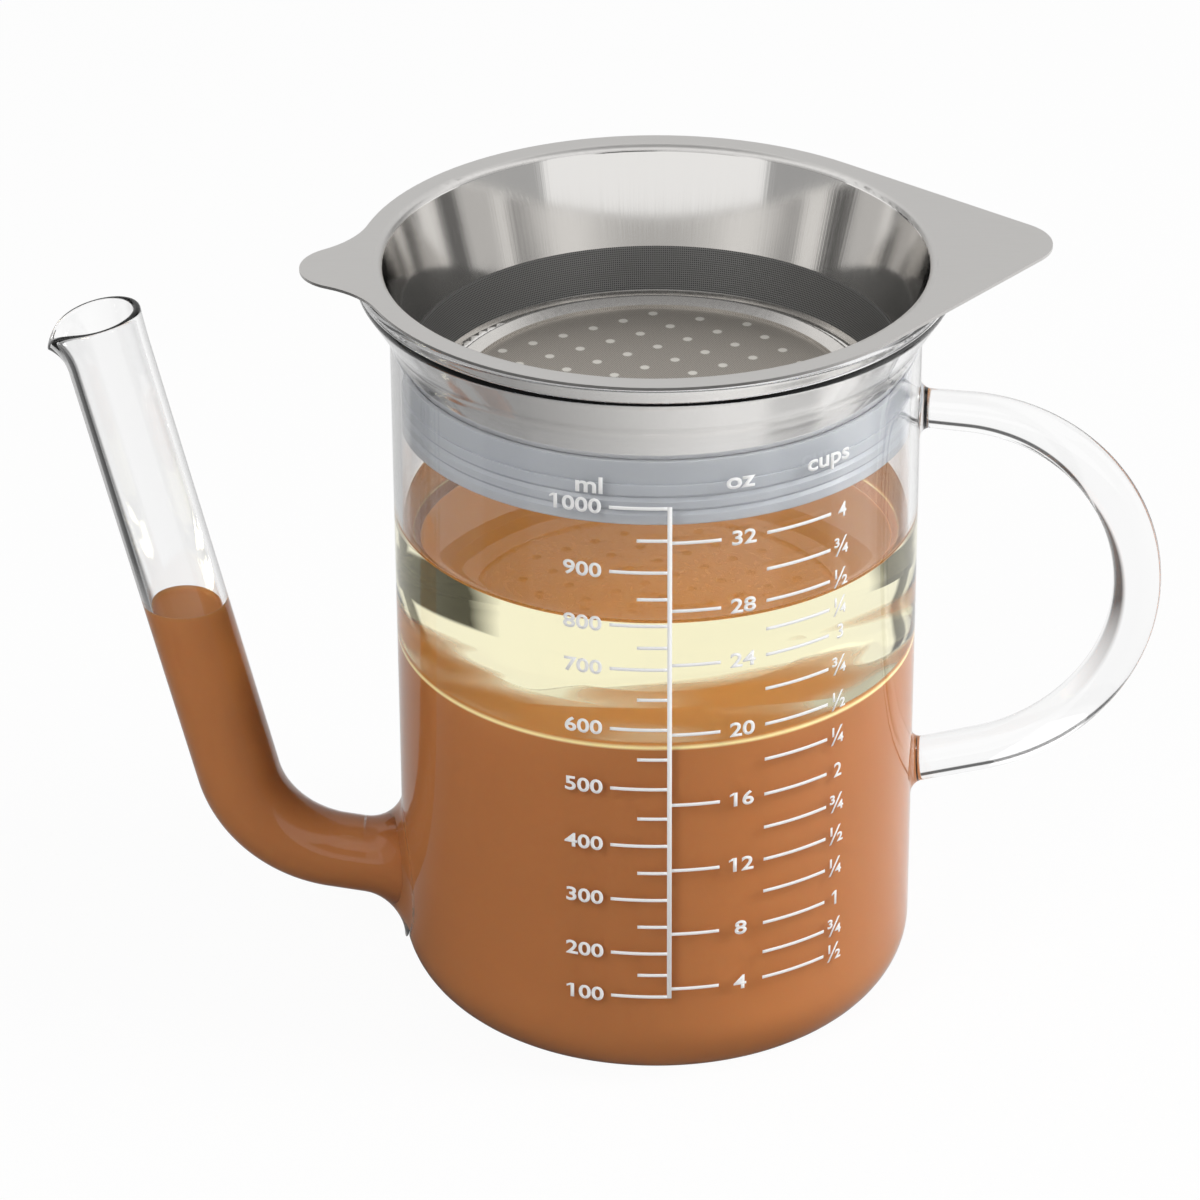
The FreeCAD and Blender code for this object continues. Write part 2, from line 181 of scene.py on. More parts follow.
class SteelSettings(PropertyGroup):
    """The strainer's stainless steel."""
    colour: colour("Steel", "Colour of the steel", (0.79, 0.775, 0.755))
    satin_roughness: share("Satin roughness", "Roughness of the flange and wings", 0.34)
    wall_roughness: share("Wall roughness", "Roughness of the bowl's wall", 0.09)
    plate_roughness: share("Plate roughness", "Roughness of the perforated plate", 0.3)
    ring_roughness: share("Ring roughness", "Roughness of the clamp ring", 0.2)
    weave_pitch: length("Weave pitch", "Distance between wires", 0.00042)
    side_radius: length("Side mesh radius", "Mean radius of the side mesh", 0.046)
    flange_height: length("Flange height", "Height of the flange's underside", 0.1598)
    hole_pitch: length("Hole pitch", "Distance between holes", 0.007)
    hole_radius: length("Hole radius", "Radius of a hole", 0.0011)
    hole_reach: length("Hole reach", "Radius that has holes", 0.037)
    hole_turn: angle("Hole turn", "Turn of the grid of holes", 30)


class SealSettings(PropertyGroup):
    """The silicone seal."""
    colour: colour("Silicone", "Colour of the silicone", (0.41, 0.425, 0.455))


class ScaleSettings(PropertyGroup):
    """The measuring scale printed on the glass."""
    ink: colour("Ink", "Colour of the print", (0.86, 0.86, 0.86))
    thickness: length("Thickness", "Thickness of the print", 0.00005)
    line_width: length("Line width", "Width of the lines", 0.0007)
    digit_height: length("Digit height", "Height of the numbers", 0.0032)


class StudioSettings(PropertyGroup):
    """Floor, lamps, world and camera."""
    ambient: number("Ambient", "Strength of the world's light", 0.42, min=0)
    key_power: number("Key lamp", "Power of the key lamp", 11, min=0, unit="POWER")
    fill_power: number("Fill lamp", "Power of the fill lamp", 5.2, min=0, unit="POWER")


class SeparatorSettings(PropertyGroup):
    """Every size and colour of the fat separator."""
    glass: PointerProperty(type=GlassSettings)
    spout: PointerProperty(type=SpoutSettings)
    handle: PointerProperty(type=HandleSettings)
    contents: PointerProperty(type=ContentsSettings)
    steel: PointerProperty(type=SteelSettings)
    seal: PointerProperty(type=SealSettings)
    scale: PointerProperty(type=ScaleSettings)
    studio: PointerProperty(type=StudioSettings)


# Meshes


def turns(count):
    return [2 * pi * i / count for i in range(count)]


def stepped(start, end, count):
    """Numbers from start to end, in even steps."""
    return [start + (end - start) * i / count for i in range(count + 1)]


def rounded_outline(corners):
    """Points of an outline through (radius, height, bend radius) corners."""
    points = []
    count = len(corners)
    for i, (x, z, bend) in enumerate(corners):
        here = Vector((x, z))
        if bend <= 0:
            points.append(here)
            continue
        before = (Vector(corners[i - 1][:2]) - here).normalized()
        after = (Vector(corners[(i + 1) % count][:2]) - here).normalized()
        half = before.angle(after) / 2
        middle = here + (before + after).normalized() * (bend / sin(half))
        start = here + before * (bend / tan(half)) - middle
        turn = pi - 2 * half
        side = 1 if before.cross(after) < 0 else -1
        steps = max(2, ceil(turn / BEND_STEP))
        for step in range(steps + 1):
            points.append(middle + Matrix.Rotation(side * turn * step / steps, 2) @ start)
    return points


def supported(outline):
    """The outline with a point just inside both ends of each long run, to keep shading true."""
    points = []
    for here, after in zip(outline, outline[1:]):
        here, after = Vector(here), Vector(after)
        points.append(here)
        run = after - here
        if run.length > 10 * SUPPORT:
            points.append(here + run.normalized() * SUPPORT)
            points.append(after - run.normalized() * SUPPORT)
    return points + [Vector(outline[-1])]


def finished_mesh(name, mesh):
    made = bpy.data.meshes.new(name)
    mesh.to_mesh(made)
    mesh.free()
    for polygon in made.polygons:
        polygon.use_smooth = True
    return made


def sharpened(mesh):
    """Smooth shading, broken at corners and between two finishes."""
    held = bmesh.new()
    held.from_mesh(mesh)
    for face in held.faces:
        face.smooth = True
    for edge in held.edges:
        one, two = edge.link_faces
        one_finish = one.material_index == two.material_index
        edge.smooth = one_finish and edge.calc_face_angle() < SHARP_ANGLE
    held.to_mesh(mesh)
    held.free()
    return mesh


def turned_mesh(name, outline):
    """Mesh of revolution about the jug's axis, through an outline that starts and ends on it."""
    mesh = bmesh.new()
    rings = []
    for radius, height in supported(outline):
        rings.append([mesh.verts.new((radius * cos(t), radius * sin(t), height))
                      for t in (turns(SEGMENTS) if radius > 0 else [0])])
    for low, high in zip(rings, rings[1:]):
        for i in range(SEGMENTS):
            j = (i + 1) % SEGMENTS
            corners = (low[i % len(low)], low[j % len(low)],
                       high[j % len(high)], high[i % len(high)])
            mesh.faces.new(list(dict.fromkeys(corners)))
    bmesh.ops.recalc_face_normals(mesh, faces=mesh.faces)
    return sharpened(finished_mesh(name, mesh))


def ringed_mesh(name, rings, loop=False, fused=()):
    """Closed mesh through rings of points. A band has the number of the ring that it starts at,
    and the ends of a mesh that isn't a loop are bands -1 and the last. Fused bands get the
    second finish."""
    mesh = bmesh.new()
    rows = [[mesh.verts.new(point) for point in ring] for ring in rings]
    count, last = len(rows[0]), len(rows) - 1
    for band in range(len(rows) if loop else last):
        low, high = rows[band], rows[(band + 1) % len(rows)]
        for i in range(count):
            j = (i + 1) % count
            face = mesh.faces.new((low[i], low[j], high[j], high[i]))
            face.material_index = int(band in fused)
    if not loop:
        for band, end in ((-1, rows[0]), (last, rows[-1])):
            mesh.faces.new(end).material_index = int(band in fused)
    bmesh.ops.recalc_face_normals(mesh, faces=mesh.faces)
    return finished_mesh(name, mesh)


def combined(name, mesh, other, operation):
    """Mesh of a boolean operation between two closed meshes."""
    held = [added(name, mesh), added(name + "_other", other)]
    step = held[0].modifiers.new("combine", "BOOLEAN")
    step.operation = operation
    step.solver = "EXACT"
    step.object = held[1]
    made = shown_mesh(held[0])
    if not made.polygons:
        raise RuntimeError("nothing is left of " + name)
    for one in held:
        data = one.data
        bpy.data.objects.remove(one)
        bpy.data.meshes.remove(data)
    made.name = name
    return made


def shown_mesh(holder):
    """New mesh of what an object looks like with its modifiers."""
    bpy.context.view_layer.update()
    shown = holder.evaluated_get(bpy.context.evaluated_depsgraph_get())
    return bpy.data.meshes.new_from_object(shown)


def added(name, data):
    """New object in the scene."""
    made = bpy.data.objects.new(name, data)
    bpy.context.scene.collection.objects.link(made)
    return made


def placed(name, mesh, materials, replaces=()):
    """Puts a mesh into the scene as a piece that rides the jug."""
    piece = added(name, mesh)
    for material in materials:
        mesh.materials.append(material)
    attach(piece, "jug")
    if replaces:
        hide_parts(*replaces)


class CentreLine:
    """Straight run, arc and straight run in the XZ plane, measured along its length."""

    def __init__(self, start, corner_in, arc_centre, corner_out, end):
        self.start, self.corner_out, self.arc_centre = start, corner_out, arc_centre
        self.first = (corner_in - start).normalized()
        self.last = (end - corner_out).normalized()
        self.spoke = corner_in - arc_centre
        self.side = 1 if self.spoke.cross(self.first).y > 0 else -1
        self.in_at = (corner_in - start).length
        turn = self.spoke.angle(corner_out - arc_centre)
        self.out_at = self.in_at + turn * self.spoke.length
        self.length = self.out_at + (end - corner_out).length

    def at(self, distance):
        """Point and direction at a distance from the start."""
        if distance <= self.in_at:
            return self.start + self.first * distance, self.first
        if distance >= self.out_at:
            return self.corner_out + self.last * (distance - self.out_at), self.last
        turn = self.side * (distance - self.in_at) / self.spoke.length
        swing = Matrix.Rotation(turn, 3, "Y")
        return self.arc_centre + swing @ self.spoke, swing @ self.first

    def rim_point(self, distance, radius, around):
        """Point beside the line. Angle 0 is in the XZ plane, on its left seen from the front."""
        point, ahead = self.at(distance)
        left = ahead.cross(Vector((0, 1, 0)))
        return point + (left * cos(around) + Vector((0, 1, 0)) * sin(around)) * radius

    def to_wall(self, guess, radius, around, wall):
        """Distance along the line at which a point beside it lies on a cylinder round Z."""
        low, high = guess - SEARCH, guess + SEARCH
        outward = (self.rim_point(high, radius, around).xy.length
                   > self.rim_point(low, radius, around).xy.length)
        for _ in range(HALVINGS):
            middle = (low + high) / 2
            if (self.rim_point(middle, radius, around).xy.length < wall) == outward:
                low = middle
            else:
                high = middle
        return (low + high) / 2

    def ring(self, distance, radius):
        """Ring of points round the line."""
        return [self.rim_point(distance, radius, t) for t in turns(ROUND)]

    def wall_ring(self, guess, radius, wall):
        """Ring of points round the line, all on a cylinder round Z."""
        return [self.rim_point(self.to_wall(guess, radius, t, wall), radius, t)
                for t in turns(ROUND)]

    def foot_rings(self, at_wall, radius, flare, wall, root):
        """Rings of a flared foot, from a root in the jug's glass out to the plain rod or tube."""
        rings = [self.wall_ring(at_wall, radius + flare, root)]
        for step in range(FOOT_STEPS + 1):
            part = pi / 2 * (1 - step / FOOT_STEPS)
            wide = radius + flare * (1 - cos(part))
            rings.append(self.wall_ring(at_wall, wide, wall + flare * (1 - sin(part))))
        return rings


def spout_line(sizes):
    """Centre line of the spout, from inside the jug to above its mouth, and the distance along
    it of the jug's wall."""
    glass, spout = sizes.glass, sizes.spout
    corner = Vector((-glass.radius - spout.reach, 0,
                     spout.foot_height + spout.reach * tan(spout.rise)))
    run = Vector((-cos(spout.rise), 0, sin(spout.rise)))
    lean = Vector((-sin(spout.lean), 0, cos(spout.lean)))
    half = run.angle(lean) / 2
    back = spout.bend * tan(half)
    centre = corner + (lean - run).normalized() * (spout.bend / cos(half))
    start = corner - run * ((corner.x + LINE_START) / run.x)
    end = corner + lean * ((spout.mouth_height - corner.z) / lean.z)
    line = CentreLine(start, corner - run * back, centre, corner + lean * back, end)
    return line, (glass.radius - LINE_START) / cos(spout.rise)


def spout_radius(line, spout, distance, inset):
    """Radius of the tube below its lip."""
    part = (distance - line.in_at) / (line.out_at - line.in_at)
    part = min(1, max(0, part))
    return spout.foot_radius + (spout.radius - spout.foot_radius) * part - inset


def lip_rings(line, spout, inset):
    """Rings from the plain tube to just below the edge of its mouth."""
    def reach(turn, part):
        beak = ((1 + cos(turn)) / 2) ** BEAK_POWER
        return spout.radius - inset + part ** LIP_POWER * (spout.lip_flare + spout.lip_pull * beak)

    def top(turn):
        out = spout.radius + reach(turn, 1) * cos(turn)
        return line.length - spout.lip_dip * max(0, out / (2 * spout.radius)) ** DIP_POWER

    start = line.length - spout.lip_length
    return [[line.rim_point(start + (top(t) - spout.wall / 2 - start) * part, reach(t, part), t)
             for t in turns(ROUND)] for part in stepped(0, 1, LIP_STEPS)]


def lower_stops(line, start):
    """Distances along the spout's lower run and round its bend."""
    return (stepped(start, line.in_at, RUN_STEPS)
            + stepped(line.in_at, line.out_at, BEND_STEPS)[1:])


def spout_mesh(sizes):
    glass, spout = sizes.glass, sizes.spout
    line, at_wall = spout_line(sizes)
    foot = spout.foot_radius + spout.foot_flare
    stops = lower_stops(line, at_wall + spout.foot_flare + CLEARANCE / 2)
    stops += stepped(line.out_at, line.length - spout.lip_length, UPPER_STEPS)[1:-1]
    outer, inner = [[line.ring(d, spout_radius(line, spout, d, inset)) for d in stops]
                    + lip_rings(line, spout, inset) for inset in (0, spout.wall)]
    edge = []
    for part in stepped(0, pi, EDGE_STEPS)[1:-1]:
        rise = line.last * (spout.wall / 2 * sin(part))
        edge.append([(a + b) / 2 + (a - b) / 2 * cos(part) + rise
                     for a, b in zip(outer[-1], inner[-1])])
    opening = [line.wall_ring(at_wall, wide, glass.bore)
               for wide in stepped(spout.foot_radius - spout.wall, foot, ROOT_STEPS)[:-1]]
    feet = line.foot_rings(at_wall, spout.foot_radius, spout.foot_flare, glass.radius, glass.bore)
    rings = feet + outer + edge + inner[::-1] + opening
    return sharpened(ringed_mesh("spout_tube", rings, loop=True, fused=(0,)))


def handle_line(sizes):
    """Centre line of the handle, from its upper end to its lower one, both inside the jug."""
    glass, handle = sizes.glass, sizes.handle
    centre = Vector((glass.radius + handle.arc_reach, 0, handle.arc_height))
    corners, ends = [], []
    for turn in (handle.upper_end, handle.lower_end):
        corner = centre + Vector((cos(turn), 0, sin(turn))) * handle.arc_radius
        along = Vector((-sin(turn), 0, cos(turn)))
        corners.append(corner)
        ends.append(corner + along * ((LINE_START - corner.x) / along.x))
    return CentreLine(ends[0], corners[0], centre, corners[1], ends[1])


def handle_radius(line, handle, distance):
    """Radius of the rod, thickest half way along."""
    middle = (line.in_at + line.out_at) / 2
    if distance < middle:
        part, thin, thick = distance / middle, handle.upper_radius, handle.grip_radius
    else:
        part = (distance - middle) / (line.length - middle)
        thin, thick = handle.grip_radius, handle.lower_radius
    return thin + (thick - thin) * part * part * (3 - 2 * part)


def handle_feet(sizes, line):
    """Where the rod meets the wall at its two ends, with its radius there."""
    inside = sizes.glass.radius - LINE_START
    upper, lower = inside / line.first.x, line.length + inside / line.last.x
    return [(at, handle_radius(line, sizes.handle, at)) for at in (upper, lower)]


def handle_mesh(sizes):
    glass, handle = sizes.glass, sizes.handle
    line = handle_line(sizes)
    root = glass.radius - glass.wall / 2
    feet = handle_feet(sizes, line)
    first, last = [line.foot_rings(distance, radius, handle.foot_flare, glass.radius, root)
                   for distance, radius in feet]
    past = handle.foot_flare + CLEARANCE
    rod = [line.ring(distance, handle_radius(line, handle, distance))
           for distance in stepped(feet[0][0] + past, feet[1][0] - past, ROD_STEPS)]
    rings = first + rod + last[::-1]
    fused = (-1, 0, len(rings) - 2, len(rings) - 1)
    return sharpened(ringed_mesh("handle_rod", rings, fused=fused))


def jug_mesh(sizes):
    """The turned jug, opened for the spout and sunk for the handle's two feet."""
    glass, spout = sizes.glass, sizes.spout
    rim = glass.radius + glass.rim_overhang
    flare_end = glass.height - glass.rim_band
    flare_start = flare_end - glass.rim_overhang / tan(glass.flare)
    lift = glass.wall * tan(glass.flare / 2)
    round_rim = glass.wall / 2 * EDGE_ROUND
    mesh = turned_mesh("jug_body", rounded_outline([
        (0, 0, 0),
        (glass.radius, 0, glass.base_corner),
        (glass.radius, flare_start, glass.flare_bend),
        (rim, flare_end, glass.rim_bend + glass.wall),
        (rim, glass.height, round_rim),
        (rim - glass.wall, glass.height, round_rim),
        (rim - glass.wall, flare_end + lift, glass.rim_bend),
        (glass.bore, flare_start + lift, glass.flare_bend + glass.wall),
        (glass.bore, glass.floor, glass.base_corner - glass.wall),
        (0, glass.floor, 0),
    ]))
    line, at_wall = spout_line(sizes)
    cuts = [(line, at_wall, spout.foot_radius + spout.foot_flare, glass.bore - CLEARANCE)]
    line = handle_line(sizes)
    for distance, radius in handle_feet(sizes, line):
        cuts.append((line, distance, radius + sizes.handle.foot_flare,
                     glass.radius - glass.wall / 2))
    for line, distance, radius, root in cuts:
        plug = ringed_mesh("plug", [line.wall_ring(distance, radius, wall)
                                    for wall in (root, glass.radius + CLEARANCE)])
        mesh = combined("jug_body", mesh, plug, "DIFFERENCE")
    return sharpened(mesh)


def gravy_mesh(sizes):
    """Gravy in the jug, joined to the column in the spout."""
    glass, spout, contents = sizes.glass, sizes.spout, sizes.contents
    grown = contents.wetting * GRAVY_WETTING
    wall, low = glass.bore + grown, glass.floor - grown
    corners = [(0, low, 0), (wall, low, glass.base_corner - glass.wall + grown),
               (wall, contents.gravy_level, GRAVY_EDGE)]
    corners += [(radius, contents.gravy_level + rise, 0) for radius, rise in GRAVY_DOME]
    jug = turned_mesh("gravy_pour", rounded_outline(corners))
    line = spout_line(sizes)[0]
    rings = [line.ring(d, spout_radius(line, spout, d, spout.wall - grown))
             for d in lower_stops(line, COLUMN_START)]
    radius = spout.radius - spout.wall + grown
    for wide, rise in SPOUT_SURFACE:
        level = contents.spout_level + rise
        rings.append([foot + line.last * ((level - foot.z) / line.last.z)
                      for foot in line.ring(line.out_at, radius * wide)])
    return sharpened(combined("gravy_pour", jug, ringed_mesh("column", rings), "UNION"))


def fat_mesh(sizes):
    """Fat from just under the gravy's surface to its own, drawn up at the glass."""
    glass, contents = sizes.glass, sizes.contents
    outer = glass.bore + contents.wetting
    under = contents.gravy_level - FAT_DEPTH
    outline = [(0, under), (outer, under), (outer, contents.fat_level + FAT_CLIMB)]
    outline += [(outer - inward, contents.fat_level + rise) for inward, rise in FAT_SURFACE]
    return turned_mesh("fat_pour", outline + [(0, contents.fat_level)])


# Materials


LAMPS_THROUGH_GLASS = (0.93, 0.94, 0.935)
LAMPS_THROUGH_FAT = (0.97, 0.97, 0.95)
BORE_MARGIN = 0.0003  # glass within this of the bore counts as the bore
SURFACE_DEPTH = 0.0012  # the gravy counts as surface from this far below its level,
SURFACE_MARGIN = 0.0005  # and out to this far past the bore
HIGHLIGHT_DROP = 0.0008  # middle of the painted highlight's line below the gravy's level
HIGHLIGHT_REACH = 0.0017  # distance from the bore within which the painted highlight shows
MIRROR_IOR = 0.94  # gravy's surface, seen from inside the fat
SWELL = 0.0016  # depth of the swell on the gravy's surface
GRAIN = 0.00002  # depth of the steel's grain
WIRE = 0.00008  # depth of the weaves


class Shading:
    """A node tree and short forms for its nodes. x, y and z are a place on the object, or a
    direction in the world."""

    def __init__(self, owner, coordinates="Object"):
        owner.use_nodes = True
        self.tree = owner.node_tree
        self.place = self.node("TexCoord").outputs[coordinates]
        self.x, self.y, self.z = self.node("SeparateXYZ", {0: self.place}).outputs

    def node(self, kind, sockets=(), **values):
        made = self.tree.nodes.new("ShaderNode" + kind)
        for key, value in values.items():
            setattr(made, key, value)
        self.fill(made, sockets)
        return made

    def fill(self, node, sockets):
        """Links a node's sockets to other sockets, or sets their values."""
        for key, value in dict(sockets).items():
            socket = node.inputs[key]
            if isinstance(value, NodeSocket):
                self.tree.links.new(value, socket)
            elif socket.type == "RGBA":
                socket.default_value = (*value, 1)
            else:
                socket.default_value = value

    def out(self, kind, sockets, **values):
        return self.node(kind, sockets, **values).outputs[0]

    def math(self, operation, first, *others):
        """One math node, or a chain of them for more than two values."""
        if not others:
            return self.out("Math", {0: first}, operation=operation)
        for value in others:
            first = self.out("Math", {0: first, 1: value}, operation=operation)
        return first

    plus = partialmethod(math, "ADD")
    minus = partialmethod(math, "SUBTRACT")
    times = partialmethod(math, "MULTIPLY")
    over = partialmethod(math, "DIVIDE")
    below = partialmethod(math, "LESS_THAN")
    above = partialmethod(math, "GREATER_THAN")
    least = partialmethod(math, "MINIMUM")
    most = partialmethod(math, "MAXIMUM")

    def range(self, value, low, high, to_low=0.0, to_high=1.0):
        return self.out("MapRange", {"Value": value, "From Min": low, "From Max": high,
                                     "To Min": to_low, "To Max": to_high})

    def noise(self, vector, scale, detail=2.0, roughness=0.5):
        return self.out("TexNoise", {"Vector": vector, "Scale": scale, "Detail": detail,
                                     "Roughness": roughness})

    def stretched(self, *scale):
        return self.out("Mapping", {"Vector": self.place, "Scale": scale})

    def mix(self, factor, first, second):
        return self.node("Mix", {0: factor, 6: first, 7: second}, data_type="RGBA").outputs[2]

    def blend(self, factor, first, second):
        """The first shader where the factor is 0, and the second where it is 1."""
        return self.out("MixShader", {0: factor, 1: first, 2: second})

    def apart(self, value, middle):
        return self.math("ABSOLUTE", self.minus(value, middle))

    def turn(self):
        """Angle round Z, from +X."""
        return self.math("ARCTAN2", self.y, self.x)

    def radius(self):
        """Distance from Z."""
        squares = [self.math("POWER", way, 2.0) for way in (self.x, self.y)]
        return self.math("SQRT", self.plus(*squares))

    def bump(self, height, distance, strength=1.0):
        return self.out("Bump", {"Height": height, "Distance": distance, "Strength": strength})


class Finish(Shading):
    """Shading of a new material."""

    def __init__(self, name):
        self.material = bpy.data.materials.new(name)
        super().__init__(self.material)
        self.shader = self.tree.nodes["Principled BSDF"]

    def set(self, **values):
        """Sets the Principled shader's sockets."""
        self.fill(self.shader, {key.replace("_", " "): value for key, value in values.items()})
        return self.material

    def clear(self, colour=(1, 1, 1)):
        return self.out("BsdfTransparent", {"Color": colour})

    def show(self, shader):
        self.fill(self.tree.nodes["Material Output"], {"Surface": shader})
        return self.material

    def open_to_lamps(self, colour, joined):
        """Lets lamps shine through glass or fat to what is behind it, and all light where the
        two are joined."""
        shadow = self.node("LightPath").outputs["Is Shadow Ray"]
        pane = self.blend(shadow, self.shader.outputs[0], self.clear(colour))
        return self.show(self.blend(joined, pane, self.clear()))


def clear_glass(sizes):
    """Glass with no surface of its own where the fat wets its bore."""
    made = Finish("clear_glass")
    glass, contents = sizes.glass, sizes.contents
    wet = made.times(made.below(made.radius(), glass.bore + BORE_MARGIN),
                     made.above(made.z, contents.gravy_level - FAT_DEPTH),
                     made.below(made.z, contents.fat_level + FAT_CLIMB))
    made.set(Base_Color=glass.tint, Transmission_Weight=1.0, IOR=glass.ior, Roughness=0.0)
    return made.open_to_lamps(LAMPS_THROUGH_GLASS, wet)


def fused_glass():
    """Where the spout or the handle is melted into the jug it has no surface to see."""
    made = Finish("fused_glass")
    return made.show(made.clear())


def caramel_gravy(sizes):
    """Opaque gravy. Under the fat its surface is a mirror to low sight lines."""
    made = Finish("caramel_gravy")
    contents, bore = sizes.contents, sizes.glass.bore
    radius = made.radius()
    clouds = made.noise(made.stretched(18, 18, 26), 1.0, 3.0)
    body = made.mix(clouds, [c * 0.93 for c in contents.gravy_colour],
                    [min(1, c * 1.07) for c in contents.gravy_colour])
    surface = made.times(made.above(made.z, contents.gravy_level - SURFACE_DEPTH),
                         made.below(radius, bore + SURFACE_MARGIN))
    # Painted light: the top under the fat takes the lighter surface colour.
    body = made.mix(surface, body, contents.surface_colour)
    # Painted highlight: a bright yellow line where the gravy meets the glass, just under its level.
    off_line = made.apart(made.z, contents.gravy_level - HIGHLIGHT_DROP)
    painted_edge_highlight = made.times(made.range(off_line, 0.0001, 0.0006, 1.0, 0.0),
                      made.below(made.apart(radius, bore), HIGHLIGHT_REACH))
    made.set(Base_Color=made.mix(painted_edge_highlight, body, contents.film_colour), Roughness=0.5,
             Specular_IOR_Level=0.08, Subsurface_Weight=0.25,
             Subsurface_Radius=(0.004, 0.002, 0.001), Subsurface_Scale=1.0)
    swing = made.math("COSINE", made.times(made.minus(made.x, 0.022), 95.0))
    waves = made.times(made.range(made.y, -0.03, 0.03, -0.36, 0.36), swing)
    ripples = made.times(made.noise(made.stretched(1, 1, 0), 34.0, 0.8, 0.4), 0.5)
    swell = made.bump(made.plus(waves, ripples), SWELL)
    mirror = made.out("Fresnel", {"IOR": MIRROR_IOR, "Normal": swell})
    gloss = made.out("BsdfGlossy", {"Roughness": 0.02, "Color": (1, 1, 1), "Normal": swell})
    low_sight = made.times(made.range(mirror, 0.15, 0.55), surface)
    return made.show(made.blend(low_sight, made.shader.outputs[0], gloss))


def golden_fat(sizes):
    """Clear yellow fat, with no side of its own where it wets the glass."""
    made = Finish("golden_fat")
    contents = sizes.contents
    made.set(Base_Color=(1.0, 1.0, 0.97), Transmission_Weight=1.0, IOR=contents.fat_ior,
             Roughness=0.0)
    side = sizes.glass.bore + contents.wetting / 2
    absorb = made.out("VolumeAbsorption", {"Color": contents.fat_colour,
                                           "Density": contents.fat_density})
    made.fill(made.tree.nodes["Material Output"], {"Volume": absorb})
    return made.open_to_lamps(LAMPS_THROUGH_FAT, made.above(made.radius(), side))


def satin_steel(sizes):
    """Brushed flange and wings, and polished with upright brushing on the bowl's wall."""
    made = Finish("satin_steel")
    upright = made.out("CombineXYZ", {0: made.times(made.turn(), 60.0),
                                      1: made.radius(), 2: made.times(made.z, 4.0)})
    upright = made.noise(upright, 3.0, 3.0)
    flat = made.noise(made.stretched(180, 2600, 400), 1.0)
    on_wall = made.below(made.z, sizes.flange_height)
    polish, satin = sizes.wall_roughness, sizes.satin_roughness
    wall = made.range(upright, 0.3, 0.7, polish * 0.7, polish * 1.4)
    flange = made.range(flat, 0.3, 0.7, satin * 0.85, satin * 1.15)
    rough = made.plus(made.times(on_wall, wall), made.times(made.minus(1.0, on_wall), flange))
    return made.set(Base_Color=sizes.colour, Metallic=1.0, Roughness=rough,
                    Normal=made.bump(made.mix(on_wall, flat, upright), GRAIN, 0.35))


def plain_steel(sizes, name, roughness):
    made = Finish(name)
    grain = made.noise(made.stretched(900, 900, 300), 1.0)
    return made.set(Base_Color=sizes.colour, Metallic=1.0,
                    Roughness=made.range(grain, 0.3, 0.7, roughness * 0.8, roughness * 1.2),
                    Normal=made.bump(grain, GRAIN, 0.3))


def woven(made, across, along, wire_colour, gap_colour):
    """Finishes a fine plain weave, from two sockets that count its wires."""
    nearest = made.most(*[made.apart(made.math("FRACT", way), 0.5) for way in (across, along)])
    wire = made.range(nearest, 0.2, 0.34)
    return made.set(Base_Color=made.mix(wire, gap_colour, wire_colour), Metallic=0.85,
                    Roughness=0.42, Normal=made.bump(nearest, WIRE, 0.6))


def bottom_weave(sizes):
    """The floor's mesh, with painted light over the holes of the plate under it."""
    made = Finish("bottom_weave")
    turned = made.out("Mapping", {"Vector": made.place, "Rotation": (0, 0, -sizes.hole_turn)})
    ways = made.node("SeparateXYZ", {0: turned}).outputs[:2]
    squares = []
    for way in ways:
        cell = made.math("FRACT", made.over(way, sizes.hole_pitch))
        offset = made.minus(cell, 0.5)
        squares.append(made.times(offset, offset))
    away = made.times(made.math("SQRT", made.plus(*squares)), sizes.hole_pitch)
    # Painted light: a mask of the plate's holes, where light from below would shine up through
    # them.
    lit = made.times(made.range(away, sizes.hole_radius, sizes.hole_radius * 0.7),
                     made.below(made.radius(), sizes.hole_reach))
    across, along = [made.over(way, sizes.weave_pitch) for way in ways]
    # Painted light: gap and wire turn pale over the holes.
    gap = made.mix(lit, (0.17, 0.15, 0.13), (1.0, 0.97, 0.9))
    wire = made.mix(lit, (0.58, 0.54, 0.49), (0.95, 0.93, 0.88))
    return woven(made, across, along, wire, gap)


def side_weave(sizes):
    made = Finish("side_weave")
    across = made.times(made.turn(), sizes.side_radius / sizes.weave_pitch)
    along = made.over(made.z, sizes.weave_pitch)
    return woven(made, across, along, (0.26, 0.26, 0.255), (0.04, 0.04, 0.04))


def soft_silicone(sizes):
    made = Finish("soft_silicone")
    cloud = made.noise(made.stretched(40, 40, 40), 1.0)
    return made.set(Base_Color=sizes.colour, Roughness=made.range(cloud, 0.3, 0.7, 0.16, 0.26),
                    Subsurface_Weight=0.6, Subsurface_Radius=(0.004, 0.004, 0.0045),
                    Subsurface_Scale=1.0)


def white_ink(sizes):
    made = Finish("white_ink")
    speckle = made.noise(made.place, 4000, 1.0)
    return made.set(Base_Color=made.mix(speckle, [c * 0.97 for c in sizes.ink], sizes.ink),
                    Roughness=0.55)


# Printed scale


OUNCE = 29.574  # millilitres
CUP = 236.6
# Volumes in millilitres and the heights in millimetres to which they fill the jug.
ML_HEIGHTS = ((100, 22.6), (200, 32.7), (450, 63.8), (700, 97.2), (800, 106.8), (900, 118.4),
              (1000, 132.2))
# Corners of the flag added to a 1, from the top left of its stem, in sizes of the lettering.
ONE_FLAG = ((0.01, -0.12), (0.01, 0.0), (-0.16, -0.11), (-0.16, -0.21))
WEIGHT, WIDTH = 0.022, 1.22  # extra thickness and width of the lettering
CURVE_STEPS = 4
UNIT_HEIGHT = 0.73  # height of the unit names' capitals, in sizes
